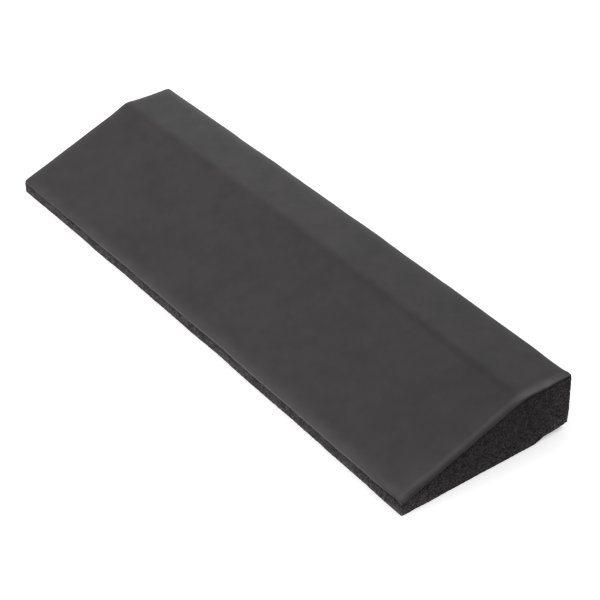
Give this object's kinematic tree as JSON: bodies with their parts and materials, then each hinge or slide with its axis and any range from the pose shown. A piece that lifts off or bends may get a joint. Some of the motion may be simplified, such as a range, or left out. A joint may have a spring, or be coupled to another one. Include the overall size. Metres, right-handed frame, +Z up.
{
  "type": "foam balance wedge",
  "caption": "Long firm foam wedge with a smooth skinned ramp and a narrow top land, laid on the floor to stand on for balance and calf work.",
  "frame": {"origin": "centre of the underside, on the surface that the wedge rests on", "axes": "+X along the crest, +Y from the thin front edge towards the tall rear face, +Z up"},
  "size_m": [0.515, 0.15, 0.05],
  "materials": {
    "cut_foam": "matt, finely porous cut face of closed-cell foam",
    "smooth_skin": "smooth satin skin, softly mottled dark grey"
  },
  "bodies": {
    "root": {"foam_core": "cut_foam", "top_skin": "smooth_skin"}
  },
  "joints": []
}
